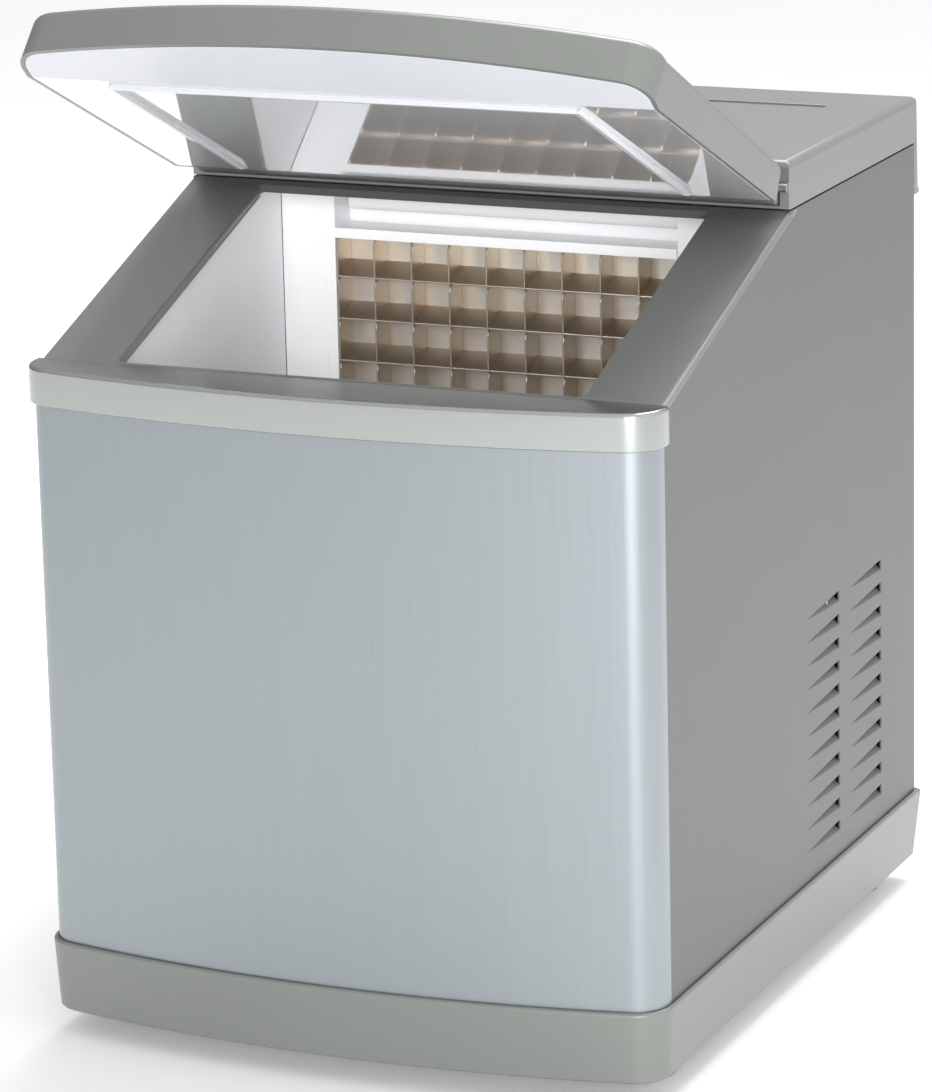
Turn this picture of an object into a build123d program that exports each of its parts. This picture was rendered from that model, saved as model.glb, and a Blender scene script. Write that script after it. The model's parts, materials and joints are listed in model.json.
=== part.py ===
from build123d import *
import os
from math import atan2, cos, degrees, sin, sqrt, tan

# Countertop ice maker, open lid, millimetres. +Z is up, the bowed front faces -Y, and the
# origin is on the ground, under the middle of the whole machine.

# ------------------------------------------------------------------ driving sizes
BODY_WIDTH = 350.0
HALF = BODY_WIDTH / 2
FRONT_Y = -196.0           # straight line through the two front corners
REAR_Y = 208.0             # outside of the back panel
BOW = 19.3                 # how far the middle of the front stands ahead of the corners
CORNER = 18.0              # plan radius of the front corners
SHEET = 1.2                # steel sheet

SKIRT_BOTTOM = 14.5
SKIRT_SEAT = 17.5          # the base pan rests here
PANEL_BOTTOM = 40.0        # the sheets stand on a step inside the skirt
SKIRT_TOP = 53.5
SKIRT_PROUD = 3.0
SKIRT_REAR = 214.0

BAND_BOTTOM = 348.0
LEDGE_Z = 368.0            # flat ledge ahead of the sloping deck
FOLD_Y = -178.0            # where the ledge ends and the slope begins
SLOPE_TOP_Y = 6.0
SLOPE_TOP_Z = 431.3
SLOPE = atan2(SLOPE_TOP_Z - LEDGE_Z, SLOPE_TOP_Y - FOLD_Y)
DECK = 2.5                 # wall of the moulded covers
OPENING_HALF = 131.5
LIP = 2.0
LIP_DEPTH = 3.5

COVER_TOP = 458.0
COVER_REAR = 214.0
HOOK_REAR = 218.3
HOOK_BOTTOM = 402.5

HINGE_Y = 5.0
HINGE_Z = 444.0
LID_OPEN = 44.0            # degrees from closed to the pose drawn here
BARREL_R = 9.3
COVE_R = 10.1
PIN_R = 2.5
CHEEK_X = 169.0            # inner face of the cover's two hinge cheeks
LID_GAP = 0.6
LID_REAR_S = 181.0         # along the slope, from the fold to the lid's rear edge
LID_FRONT_THICK = 26.4
LID_REAR_THICK = 20.9
LID_SIDE = 0.2             # the lid is this much wider than the body, each side
LID_FRONT = 2.8
LID_WALL = 2.5

BIN_HALF = 133.7           # inner face of the bin's side walls
BIN_WALL = 2.5
BIN_FRONT = -176.7
BIN_REAR = 2.0
BIN_FLOOR = 152.0
FOAM_BOTTOM = 130.0

CELL = 22.4                # width of one ice cell
CELL_DROP = 23.8           # height of one ice cell
COLUMNS = 9
ROWS = 5
PLATE_Y = 49.0             # front face of the freezing plate
GRID_FRONT = 31.5
GRID_TOP = 396.0
SHELF_FRONT_Z = 373.5      # front edge of the uppermost shelf
SHELF_RISE = 6.5           # a shelf's root is this much above its front edge
FIN = 1.1
SPRAY_Y = 45.5             # axis of the water pipe above the grid
SPRAY_Z = 415.0
COLUMN_Y = 31.0            # front face of the white columns beside the grid
FRAME_REAR = 53.4
WALL_Y = 64.0              # partition behind the freezing plate
SHELF_Z = 196.0            # underside of the partition's shelf

LOUVRE_PITCH = 13.2
LOUVRE_ROWS = 11
LOUVRE_TOP = 202.6
LOUVRE_LENGTH = 54.0
LOUVRE_REARS = (80.0, 150.0)
LOUVRE_DEEP = 3.4
LOUVRE_HIGH = 7.0

PAN_TOP = 19.5
FAN_Y = 88.0
FAN_Z = 115.0
BUTTON_R = 6.8
BUTTON_XS = (-72.0, -48.0, 48.0, 72.0)
BUTTON_NAMES = ("power_button", "cube_size_button", "timer_button", "clean_button")
PANEL_Y = 82.0

BOW_RADIUS = (HALF**2 + BOW**2) / (2 * BOW)


# ------------------------------------------------------------------ helpers
def box(x0, x1, y0, y1, z0, z1):
    """Block between two corners."""
    middle = Pos((x0 + x1) / 2, (y0 + y1) / 2, (z0 + z1) / 2)
    return middle * Box(x1 - x0, y1 - y0, z1 - z0)


def rod_x(x0, x1, y, z, r):
    return Pos((x0 + x1) / 2, y, z) * Rot(0, 90, 0) * Cylinder(r, abs(x1 - x0))


def rod_y(x, y0, y1, z, r):
    return Pos(x, (y0 + y1) / 2, z) * Rot(90, 0, 0) * Cylinder(r, y1 - y0)


def rod_z(x, y, z0, z1, r):
    return Pos(x, y, (z0 + z1) / 2) * Cylinder(r, z1 - z0)


def side_prism(points, x0, x1):
    """Side-view outline, points of (y, z), drawn out along X."""
    return Pos(x0, 0, 0) * extrude(Plane.YZ * make_face(Polyline(*points, close=True)), x1 - x0)


def plan_outline(grow, rear, corner=CORNER):
    """Bowed-front outline of the cabinet seen from above, grown outwards."""
    radius = BOW_RADIUS + grow
    half = HALF + grow
    centre_y = FRONT_Y - BOW + BOW_RADIUS
    side_y = centre_y - sqrt(radius**2 - half**2)
    arc = ThreePointArc((-half, side_y), (0, centre_y - radius), (half, side_y))
    rest = Polyline((half, side_y), (half, rear), (-half, rear), (-half, side_y))
    face = make_face([arc, rest])
    return fillet(face.vertices().filter_by(lambda v: v.Y < rear - 1), corner + grow)


def slab(grow, rear, z0, z1):
    """The cabinet's outline between two heights."""
    return Pos(0, 0, z0) * extrude(plan_outline(grow, rear), z1 - z0)


def slope_point(s, n):
    """(y, z) of a point s along the sloping deck from its fold and n above it."""
    return (FOLD_Y + s * cos(SLOPE) - n * sin(SLOPE), LEDGE_Z + s * sin(SLOPE) + n * cos(SLOPE))


def deck_z(y, drop):
    """Height of the sloping deck at y, lowered square to itself by drop."""
    return LEDGE_Z + (y - FOLD_Y) * tan(SLOPE) - drop / cos(SLOPE)


def under_deck(drop, y0, y1, z0, half):
    """Everything below the deck's underside, between two depths."""
    points = [(y0, z0), (y0, LEDGE_Z - drop), (FOLD_Y, LEDGE_Z - drop)]
    if y0 > FOLD_Y:
        points = [(y0, z0), (y0, deck_z(y0, drop))]
    points += [(min(y1, SLOPE_TOP_Y), deck_z(min(y1, SLOPE_TOP_Y), drop))]
    if y1 > SLOPE_TOP_Y:
        points += [(y1, deck_z(SLOPE_TOP_Y, drop))]
    points += [(y1, z0)]
    return side_prism(points, -half, half)


def tube(points, radii, r):
    """Round bar that follows straight runs joined by tangent arcs."""
    path = FilletPolyline(*points, radius=radii)
    return sweep(Plane(origin=path @ 0, z_dir=path % 0) * Circle(r), path=path)


def mirrored(shape):
    return mirror(shape, Plane.YZ)


def opened(shape):
    """Turn a piece of the closed lid about its hinge to the open pose."""
    return Pos(0, HINGE_Y, HINGE_Z) * Rot(-LID_OPEN, 0, 0) * Pos(0, -HINGE_Y, -HINGE_Z) * shape


def save(shape, name):
    export_step(shape, f"parts/{name}.step")


# ------------------------------------------------------------------ cabinet
def base_pan():
    """Steel floor tray with an upturned rim and four foot bolt holes."""
    pan = slab(-3.2, REAR_Y - 3.2, SKIRT_SEAT, PAN_TOP + 8)
    pan -= slab(-4.6, REAR_Y - 4.6, PAN_TOP, PAN_TOP + 9)
    for x, y in FEET:
        pan -= rod_z(x, y, SKIRT_SEAT - 1, PAN_TOP + 1, 3.0)
    return pan


def base_skirt():
    """Moulded plinth round the foot of the cabinet, drawn in towards the ground."""
    low = Pos(0, 0, SKIRT_BOTTOM) * plan_outline(0.6, SKIRT_REAR - 7)
    high = Pos(0, 0, SKIRT_TOP) * plan_outline(SKIRT_PROUD, SKIRT_REAR)
    skirt = loft([low, high])
    skirt -= slab(0, REAR_Y, PANEL_BOTTOM, SKIRT_TOP + 5)
    skirt -= slab(-3, REAR_Y - 3, SKIRT_SEAT, PANEL_BOTTOM + 1)
    skirt -= slab(-8, REAR_Y - 8, SKIRT_BOTTOM - 5, SKIRT_SEAT + 1)
    return skirt


FEET = [(x, y) for x in (-146.0, 146.0) for y in (-142.0, 178.0)]


def feet():
    """Four moulded feet, each with a stem that plugs into the base pan."""
    pads = []
    for x, y in FEET:
        pad = rod_z(x, y, 0, 3, 15.5) + rod_z(x, y, 3, SKIRT_SEAT, 17.0)
        pads.append(pad + rod_z(x, y, SKIRT_SEAT, PAN_TOP + 4, 2.9))
    return Compound(children=pads)


def front_panel():
    """Brushed sheet that wraps both front corners."""
    panel = slab(0, 0, PANEL_BOTTOM, 362) - slab(-SHEET, 1, PANEL_BOTTOM - 1, 363)
    return panel & box(-200, 200, -260, FOLD_Y, 0, 400)


def louvre(rear, z, skin, deep, wide):
    """Wedge pressed into the right-hand sheet, from nothing at the front to deep at the rear."""
    face = HALF - skin
    full = Polyline((face, -wide / 2), (HALF - deep, 0), (face, wide / 2), close=True)
    slight = Polyline((face, -wide / 8), (face - 0.4, 0), (face, wide / 8), close=True)
    planes = [Plane(origin=(0, y, z), x_dir=(1, 0, 0), z_dir=(0, 1, 0)) for y in (rear - LOUVRE_LENGTH, rear)]
    return loft([planes[0] * make_face(slight), planes[1] * make_face(full)])


def side_panel():
    """Right-hand sheet with two columns of pressed louvres."""
    points = [(FOLD_Y, PANEL_BOTTOM), (REAR_Y, PANEL_BOTTOM), (REAR_Y, SLOPE_TOP_Z)]
    points += [(SLOPE_TOP_Y, SLOPE_TOP_Z), (SLOPE_TOP_Y, deck_z(SLOPE_TOP_Y, DECK))]
    points += [(FOLD_Y, deck_z(FOLD_Y, DECK))]
    panel = side_prism(points, HALF - SHEET, HALF)
    hoods, hollows = [], []
    for rear in LOUVRE_REARS:
        for row in range(LOUVRE_ROWS):
            z = LOUVRE_TOP - row * LOUVRE_PITCH
            hoods.append(louvre(rear, z, 0.1, LOUVRE_DEEP + 1.0, LOUVRE_HIGH + 2.0))
            hollows.append(Pos(0.0, 0.3, 0) * louvre(rear, z, -0.4, LOUVRE_DEEP, LOUVRE_HIGH))
    return panel + hoods - hollows


def back_panel():
    """Rear sheet with slotted air grille, inlet opening and drain hole."""
    inner = HALF - SHEET
    panel = box(-inner, inner, REAR_Y - SHEET, REAR_Y, PANEL_BOTTOM, SLOPE_TOP_Z)
    for column in range(2):
        for row in range(14):
            x = -120 + column * 82
            z = 110 + row * 12
            panel -= box(x, x + 70, REAR_Y - 3, REAR_Y + 1, z, z + 5)
    panel -= box(INLET_X - 14, INLET_X + 14, REAR_Y - 3, REAR_Y + 1, INLET_Z - 11, INLET_Z + 11)
    panel -= rod_y(DRAIN_X, REAR_Y - 3, REAR_Y + 1, DRAIN_Z, 7.0)
    for x, z in SCREWS:
        panel -= rod_y(x, REAR_Y - 3, REAR_Y + 1, z, 1.9)
    return panel


SCREWS = [(x, z) for x in (-165, 165) for z in (62, 180, 300, 392)] + [(0, 62), (0, 392)]
INLET_X, INLET_Z = 120.0, 84.0
DRAIN_X, DRAIN_Z = -120.0, 72.0


def panel_screws():
    """Pan-head screws that hold the back panel."""
    screws = []
    for x, z in SCREWS:
        screws.append(rod_y(x, REAR_Y, REAR_Y + 2, z, 3.4) + rod_y(x, REAR_Y - 7, REAR_Y, z, 1.8))
    return Compound(children=screws)


def front_band():
    """Bright trim round the top of the front, with the flat ledge behind it."""
    band = slab(SKIRT_PROUD, 0, BAND_BOTTOM, LEDGE_Z)
    band = fillet(band.edges().group_by(Axis.Z)[-1].filter_by(lambda e: e.center().Y < -20), 2.0)
    band -= slab(0, 1, BAND_BOTTOM - 1, LEDGE_Z - DECK)
    return band & box(-200, 200, -260, FOLD_Y, 300, 400)


def deck_frame():
    """Sloping frame round the bin opening, with a lip turned down all round."""
    outer = side_prism(
        [
            (FOLD_Y, LEDGE_Z - DECK / cos(SLOPE)),
            (FOLD_Y, LEDGE_Z),
            (SLOPE_TOP_Y, SLOPE_TOP_Z),
            (SLOPE_TOP_Y + 9, SLOPE_TOP_Z),
            (SLOPE_TOP_Y + 9, SLOPE_TOP_Z - DECK / cos(SLOPE)),
            (SLOPE_TOP_Y, SLOPE_TOP_Z - DECK / cos(SLOPE)),
        ],
        -HALF,
        HALF,
    )
    outer -= box(-200, -HALF + SHEET, SLOPE_TOP_Y, 30, 400, 440)
    outer -= box(HALF - SHEET, 200, SLOPE_TOP_Y, 30, 400, 440)
    front, rear = FOLD_Y + 1.5, SLOPE_TOP_Y - 5
    outer -= box(-OPENING_HALF, OPENING_HALF, front, rear, 340, 440)
    wall = [(front, deck_z(front, DECK + LIP_DEPTH)), (front, deck_z(front, 1))]
    wall += [(rear, deck_z(rear, 1)), (rear, deck_z(rear, DECK + LIP_DEPTH))]
    side = side_prism(wall, OPENING_HALF, OPENING_HALF + LIP)
    reach = OPENING_HALF + LIP
    front_lip = box(-reach, reach, FOLD_Y + 0.1, front, LEDGE_Z - LIP_DEPTH - 2, LEDGE_Z - 1)
    return outer + side + mirrored(side) + front_lip


def top_cover():
    """Rear cover with hinge cheeks, a cove for the lid's barrel and a hooked rear flange."""
    points = [
        (SLOPE_TOP_Y, SLOPE_TOP_Z),
        (SLOPE_TOP_Y, COVER_TOP),
        (COVER_REAR, COVER_TOP),
        (COVER_REAR + 2.3, HOOK_BOTTOM + 4.5),
        (HOOK_REAR, HOOK_BOTTOM + 3),
        (HOOK_REAR, HOOK_BOTTOM),
        (REAR_Y + 0.1, HOOK_BOTTOM),
        (REAR_Y + 0.1, SLOPE_TOP_Z),
    ]
    cover = side_prism(points, -HALF, HALF)
    top = cover.edges().group_by(Axis.Z)[-1]
    cover = fillet(top, 3.0)
    cove = rod_x(-CHEEK_X, CHEEK_X, HINGE_Y, HINGE_Z, COVE_R)
    keep = rod_x(-CHEEK_X - DECK, CHEEK_X + DECK, HINGE_Y, HINGE_Z, COVE_R + DECK)
    inside = HALF - DECK
    hollow = box(-inside, inside, SLOPE_TOP_Y + DECK, REAR_Y - 2, SLOPE_TOP_Z - 1, COVER_TOP - DECK)
    hollow += box(-inside, inside, REAR_Y, COVER_REAR - DECK, HOOK_BOTTOM - 1, SLOPE_TOP_Z + 4)
    cover = cover - cove - (hollow - keep)
    for side in (-1, 1):
        boss = rod_x(side * (HALF - DECK - 1), side * CHEEK_X, HINGE_Y + 1.5, HINGE_Z, 7.0)
        cover += boss & box(-200, 200, SLOPE_TOP_Y, 40, 400, 500)
    cover -= rod_x(-HALF + 1, HALF - 1, HINGE_Y, HINGE_Z, PIN_R)
    cover -= box(-92, 92, PANEL_Y - 35, PANEL_Y + 35, COVER_TOP - 1.5, COVER_TOP + 1)
    cover -= box(-84, 84, PANEL_Y - 27, PANEL_Y + 27, COVER_TOP - 4, COVER_TOP + 1)
    cover -= box(-137, 137, 163, 171, COVER_TOP - 1.4, COVER_TOP + 1)
    for x in (-78, 78):
        for y in (PANEL_Y - 31, PANEL_Y + 31):
            cover += rod_z(x, y, 446.6, COVER_TOP - 2, 2.6)
    return cover


def hinge_pins():
    """Two short steel pins in the cheeks."""
    pin = rod_x(CHEEK_X - 12, HALF - 1, HINGE_Y, HINGE_Z, PIN_R)
    return Compound(children=[pin, mirrored(pin)])


# ------------------------------------------------------------------ controls
def control_panel():
    """Inlaid control plate with holes for the buttons, display and lamps."""
    plate = box(-91.8, 91.8, PANEL_Y - 34.8, PANEL_Y + 34.8, COVER_TOP - 1.5, COVER_TOP + 0.3)
    for x in BUTTON_XS:
        plate -= rod_z(x, PANEL_Y, COVER_TOP - 3, COVER_TOP + 2, BUTTON_R + 0.3)
    plate -= box(-26, 26, PANEL_Y - 14, PANEL_Y + 14, COVER_TOP - 3, COVER_TOP + 2)
    for x in LAMP_XS:
        plate -= rod_z(x, PANEL_Y + 23, COVER_TOP - 3, COVER_TOP + 2, 1.6)
    return plate


LAMP_XS = (-72.0, -48.0, 48.0)


def button(x):
    """Round push button with a flange that holds it under the plate."""
    cap = rod_z(x, PANEL_Y, COVER_TOP - 3.3, COVER_TOP + 1.7, BUTTON_R)
    cap = fillet(cap.edges().group_by(Axis.Z)[-1], 0.8)
    return cap + rod_z(x, PANEL_Y, COVER_TOP - 3.3, COVER_TOP - 1.8, BUTTON_R + 1.4)


def display_window():
    return box(-25.9, 25.9, PANEL_Y - 13.9, PANEL_Y + 13.9, COVER_TOP - 1.5, COVER_TOP + 0.2)


def indicator_lenses():
    lenses = [rod_z(x, PANEL_Y + 23, COVER_TOP - 1.5, COVER_TOP + 0.5, 1.6) for x in LAMP_XS]
    return Compound(children=lenses)


def control_board():
    """Circuit board under the plate with four switches and the display module."""
    board = box(-84, 84, PANEL_Y - 34, PANEL_Y + 34, 445, 446.6)
    for x in BUTTON_XS:
        board += box(x - 3, x + 3, PANEL_Y - 3, PANEL_Y + 3, 446.6, 451)
        board += rod_z(x, PANEL_Y, 451, 453.2, 1.7)
    board += box(-24, 24, PANEL_Y - 13, PANEL_Y + 13, 446.6, 456.3)
    board += box(-30, 30, PANEL_Y - 31, PANEL_Y - 20, 446.6, 452)
    return board


# ------------------------------------------------------------------ lid
def lid_plan(grow, z0, z1):
    return Pos(0, -LID_FRONT, z0) * extrude(plan_outline(LID_SIDE + grow, 20), z1 - z0)


def lid_outline(skin, low):
    """Side view of the lid, inset by skin at the top and ends, with its underside at low."""
    front = FRONT_Y - BOW - LID_FRONT - 5
    top = LEDGE_Z + LID_GAP + LID_FRONT_THICK - skin
    rear_s = LID_REAR_S - skin
    return [
        (front, LEDGE_Z + low),
        (front, top),
        (FOLD_Y - LID_FRONT_THICK * tan(SLOPE / 2) - 1.0, top),
        slope_point(rear_s, LID_GAP + LID_REAR_THICK - skin),
        slope_point(rear_s, low),
        lid_fold(low),
    ]


def lid_shell():
    """Silver outer moulding, open below, with the hinge barrel at its rear."""
    shell = lid_plan(0, 340, 470) & side_prism(lid_outline(0, LID_GAP), -200, 200)
    hollow = lid_plan(-LID_WALL, 330, 470) & side_prism(lid_outline(LID_WALL, -5), -200, 200)
    shell -= hollow
    web = [slope_point(LID_REAR_S - 1, 8.5), slope_point(197.8, 8.5)]
    web += [slope_point(197.8, 15.5), slope_point(LID_REAR_S - 1, 15.5)]
    reach = CHEEK_X - 0.6
    shell += side_prism(web, -reach, reach)
    shell += rod_x(-reach, reach, HINGE_Y, HINGE_Z, BARREL_R)
    for side in (-1, 1):
        shell -= rod_x(side * (CHEEK_X - 13), side * CHEEK_X, HINGE_Y, HINGE_Z, PIN_R + 0.05)
    return opened(shell)


LINER_TOP = LID_GAP + 2.4


def lid_fold(n, shift=0.0):
    """(y, z) where the lid's flat front part bends into its slope, n above the deck."""
    return (FOLD_Y - n * tan(SLOPE / 2) - shift, LEDGE_Z + n)


def lid_liner():
    """Glossy inner panel under the sloping part of the lid."""
    plate = lid_plan(-LID_WALL, 330, 470) & side_prism(
        [
            lid_fold(LID_GAP),
            lid_fold(LINER_TOP),
            slope_point(LID_REAR_S - LID_WALL, LINER_TOP),
            slope_point(LID_REAR_S - LID_WALL, LID_GAP),
        ],
        -200,
        200,
    )
    return opened(plate)


def lid_lip_trim():
    """White strip under the flat front part of the lid."""
    front = FRONT_Y - BOW - LID_FRONT - 5
    strip = lid_plan(-LID_WALL, 330, 470) & side_prism(
        [
            (front, LEDGE_Z + LID_GAP),
            (front, LEDGE_Z + LINER_TOP),
            lid_fold(LINER_TOP, 0.05),
            lid_fold(LID_GAP, 0.05),
        ],
        -200,
        200,
    )
    return opened(strip)


RIB_HALF = 130.7
RIB = 2.2
RIB_DEEP = 3.0


def lid_rib_frame():
    """Raised three-sided rib that drops into the bin opening when the lid shuts."""
    low = LID_GAP - RIB_DEEP
    side = [slope_point(6, LID_GAP), slope_point(6, low)]
    side += [slope_point(168, low), slope_point(176, LID_GAP)]
    rib = side_prism(side, RIB_HALF - RIB, RIB_HALF)
    front = [slope_point(6, LID_GAP), slope_point(6, low), slope_point(6 + RIB, low)]
    front += [slope_point(6 + RIB, LID_GAP)]
    return opened(rib + mirrored(rib) + side_prism(front, -RIB_HALF, RIB_HALF))


# ------------------------------------------------------------------ ice bin
def bin_liner():
    """White ice bucket: floor, front wall, rear wall and two side walls under the deck."""
    outer_half = BIN_HALF + BIN_WALL
    wall = under_deck(DECK + 0.2, BIN_FRONT - BIN_WALL, BIN_REAR, BIN_FLOOR, outer_half)
    wall -= box(-BIN_HALF, BIN_HALF, BIN_FRONT, BIN_REAR - BIN_WALL, BIN_FLOOR + BIN_WALL, 500)
    wall -= box(-BIN_HALF, BIN_HALF, BIN_REAR - 10, BIN_REAR + 1, 250, 500)
    cheek = under_deck(DECK + 0.2, BIN_REAR - 1, COLUMN_Y - 0.2, SHELF_Z + 2.2, outer_half)
    cheek -= box(-BIN_HALF, BIN_HALF, -40, 80, 100, 500)
    wall += cheek
    wall -= box(-BIN_HALF, BIN_HALF, FOLD_Y - 5, FOLD_Y + 1.6, LEDGE_Z - 13, LEDGE_Z)
    return wall


def bin_insulation():
    """Foam between the bin and the outer sheets."""
    foam = slab(-SHEET - 0.2, BIN_REAR, FOAM_BOTTOM, 440)
    foam &= under_deck(DECK + 13, -240, BIN_REAR, FOAM_BOTTOM, 200)
    edge = BIN_WALL + 0.2
    foam -= box(-BIN_HALF - edge, BIN_HALF + edge, BIN_FRONT - edge, BIN_REAR + 1, BIN_FLOOR - 0.2, 500)
    return foam


def partition_wall():
    """Steel wall behind the freezing plate with the shelf that carries the sump."""
    half = HALF - SHEET - 0.2
    wall = box(-half, half, WALL_Y, WALL_Y + SHEET, SHELF_Z, 428)
    wall += box(-half, half, BIN_REAR + 0.2, WALL_Y + SHEET, SHELF_Z, SHELF_Z + 1.5)
    for x, z in COIL_ENDS:
        wall -= rod_y(x, WALL_Y - 2, WALL_Y + 4, z, 6.0)
    wall -= rod_y(DRAIN_X + 4, WALL_Y - 2, WALL_Y + 4, 206, 6.0)
    return wall


# ------------------------------------------------------------------ ice making
def evaporator_frame():
    """White moulding that holds the freezing plate between two columns."""
    inner = COLUMNS * CELL / 2 + 0.7
    outer = BIN_HALF - 0.2
    low = 268.0
    column = box(inner, outer, COLUMN_Y, FRAME_REAR, low, 428)
    frame = column + mirrored(column)
    frame += box(-inner, inner, COLUMN_Y - 1.5, PLATE_Y + 1.2, GRID_TOP + 0.2, GRID_TOP + 6)
    frame += box(-outer, outer, FRAME_REAR - 2, FRAME_REAR, GRID_TOP + 0.2, 428)
    frame += box(-outer, outer, COLUMN_Y, FRAME_REAR, 426, 428)
    frame -= box(inner + 2, outer - 5, COLUMN_Y + 6, FRAME_REAR + 1, 409, 425)
    frame -= rod_x(inner - 1, inner + 3, SPRAY_Y, SPRAY_Z, 5.2)
    for side in (-1, 1):
        x = side * (inner + 5)
        frame -= box(x - 0.5, x + 0.5, COLUMN_Y - 1, COLUMN_Y + 0.8, low, 396)
    return frame


def evaporator_plate():
    half = COLUMNS * CELL / 2 + 0.55
    return box(-half, half, PLATE_Y, PLATE_Y + 1.2, SHELF_FRONT_Z - ROWS * CELL_DROP + 17, GRID_TOP)


def evaporator_grid():
    """Nine columns and five rows of ice cells, with shelves that fall towards the front."""
    half = COLUMNS * CELL / 2
    bottom = SHELF_FRONT_Z - (ROWS - 1) * CELL_DROP
    plates = []
    for column in range(COLUMNS + 1):
        x = -half + column * CELL
        points = [(PLATE_Y, bottom), (GRID_FRONT, bottom), (GRID_FRONT, GRID_TOP - 3), (PLATE_Y, GRID_TOP)]
        plates.append(side_prism(points, x - FIN / 2, x + FIN / 2))
    for row in range(ROWS):
        z = SHELF_FRONT_Z - row * CELL_DROP
        points = [(GRID_FRONT, z), (PLATE_Y, z + SHELF_RISE)]
        points += [(PLATE_Y, z + SHELF_RISE + FIN), (GRID_FRONT, z + FIN)]
        for column in range(COLUMNS):
            x = -half + column * CELL
            plates.append(side_prism(points, x + FIN / 2, x + CELL - FIN / 2))
    return Compound(children=plates)


COIL_Y = PLATE_Y + 1.2 + 4.1
COIL_ENDS = ((-92.0, 385.0), (-92.0, 290.0))
COIL_TURNS = 5
COIL_BACK = 76.0


def evaporator_coil():
    """Copper serpentine on the back of the plate, with both ends through the partition."""
    (x0, z0), (x1, z1) = COIL_ENDS
    step = (z0 - z1) / COIL_TURNS
    points = [(x0, COIL_BACK, z0), (x0, COIL_Y, z0)]
    for turn in range(COIL_TURNS):
        x = -72 if turn % 2 else 88
        points += [(x, COIL_Y, z0 - turn * step), (x, COIL_Y, z0 - (turn + 1) * step)]
    points += [(x1, COIL_Y, z1), (x1, COIL_BACK, z1)]
    return tube(points, 7.5, 3.9)


def spray_tube():
    """Water pipe above the grid with a row of outlets underneath."""
    pipe = rod_x(-97, 106, SPRAY_Y, SPRAY_Z, 5.0) - rod_x(-94, 103, SPRAY_Y, SPRAY_Z, 3.9)
    for column in range(COLUMNS):
        x = (column - (COLUMNS - 1) / 2) * CELL
        pipe -= rod_z(x, SPRAY_Y, SPRAY_Z - 7, SPRAY_Z, 0.9)
    for x in (-94, 96):
        pipe += box(x - 1.5, x + 1.5, SPRAY_Y + 4.5, FRAME_REAR - 2, SPRAY_Z - 3, SPRAY_Z + 3)
    return pipe


def ice_chute():
    """Slatted ramp that lets water through and sends cubes into the bin."""
    ramp = [(BIN_REAR - 4, 251), (BIN_REAR - 4, 254), (48, 268), (48, 265)]
    chute = side_prism(ramp, -BIN_HALF + 0.4, BIN_HALF - 0.4)
    for slot in range(22):
        x = (slot - 10.5) * 12
        chute -= box(x - 3.5, x + 3.5, 10, 43, 240, 280)
    return chute


def sump_tank():
    """Open water tray under the ramp."""
    tank = box(-126, 126, 4, 61, SHELF_Z + 1.5, 244)
    tank -= box(-123.5, 123.5, 6.5, 58.5, SHELF_Z + 4, 246)
    tank -= rod_y(DRAIN_X + 4, 50, 70, 206, 3.1)
    return tank


PUMP_X, PUMP_Y = 84.0, 33.0


def pump_housing():
    """Round volute with an inlet eye in its floor and an outlet pipe."""
    floor = SHELF_Z + 4
    body = rod_z(PUMP_X, PUMP_Y, floor, floor + 16, 19)
    body += rod_x(PUMP_X + 10, PUMP_X + 28, PUMP_Y, floor + 8, 5)
    body -= rod_z(PUMP_X, PUMP_Y, floor + 3, floor + 17, 16.5)
    body -= rod_x(PUMP_X + 10, PUMP_X + 30, PUMP_Y, floor + 8, 3.4)
    body -= rod_z(PUMP_X, PUMP_Y, floor - 1, floor + 4, 5)
    return body


def pump_impeller():
    """Six-vane wheel on the pump motor's shaft."""
    floor = SHELF_Z + 4
    wheel = rod_z(PUMP_X, PUMP_Y, floor + 4, floor + 6, 14)
    wheel += rod_z(PUMP_X, PUMP_Y, floor + 4, floor + 13, 4)
    for vane in range(6):
        blade = box(3, 14, -0.8, 0.8, floor + 5, floor + 12)
        wheel += Pos(PUMP_X, PUMP_Y, 0) * Rot(0, 0, vane * 60) * blade
    return wheel - rod_z(PUMP_X, PUMP_Y, floor, floor + 20, 1.55)


def pump_motor():
    """Sealed motor that sits on the volute, with its shaft below."""
    floor = SHELF_Z + 4
    motor = rod_z(PUMP_X, PUMP_Y, floor + 16, floor + 40, 17)
    motor += rod_z(PUMP_X, PUMP_Y, floor + 16, floor + 18, 19)
    return motor + rod_z(PUMP_X, PUMP_Y, floor + 6, floor + 17, 1.5)


def pump_hose():
    """Clear hose from the pump up to the spray tube."""
    low = SHELF_Z + 12
    x, back = PUMP_X + 34, 58.0
    points = [(PUMP_X + 28, PUMP_Y, low), (x, PUMP_Y, low), (x, PUMP_Y, 248)]
    points += [(x, back, 260), (x, back, SPRAY_Z), (x, SPRAY_Y, SPRAY_Z), (106, SPRAY_Y, SPRAY_Z)]
    return tube(points, 5.3, 4.3)


# ------------------------------------------------------------------ refrigeration
COMP_X, COMP_Y = -68.0, 120.0


def compressor():
    """Welded steel can on a foot plate with three pipe stubs."""
    base = PAN_TOP + 10
    can = rod_z(COMP_X, COMP_Y, base + 3, base + 118, 54)
    can = fillet(can.edges().group_by(Axis.Z)[-1], 26)
    can = fillet(can.edges().group_by(Axis.Z)[0], 12)
    can += rod_z(COMP_X, COMP_Y, base + 60, base + 65, 56)
    can += box(COMP_X - 72, COMP_X + 72, COMP_Y - 45, COMP_Y + 45, base, base + 3.2)
    can += rod_x(COMP_X + 40, COMP_X + 66, COMP_Y, base + 40, 4)
    can += rod_y(COMP_X, COMP_Y + 40, COMP_Y + 66, base + 80, 4)
    for x in (COMP_X - 62, COMP_X + 62):
        for y in (COMP_Y - 35, COMP_Y + 35):
            can -= rod_z(x, y, base - 1, base + 5, 5.5)
    return can


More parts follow.
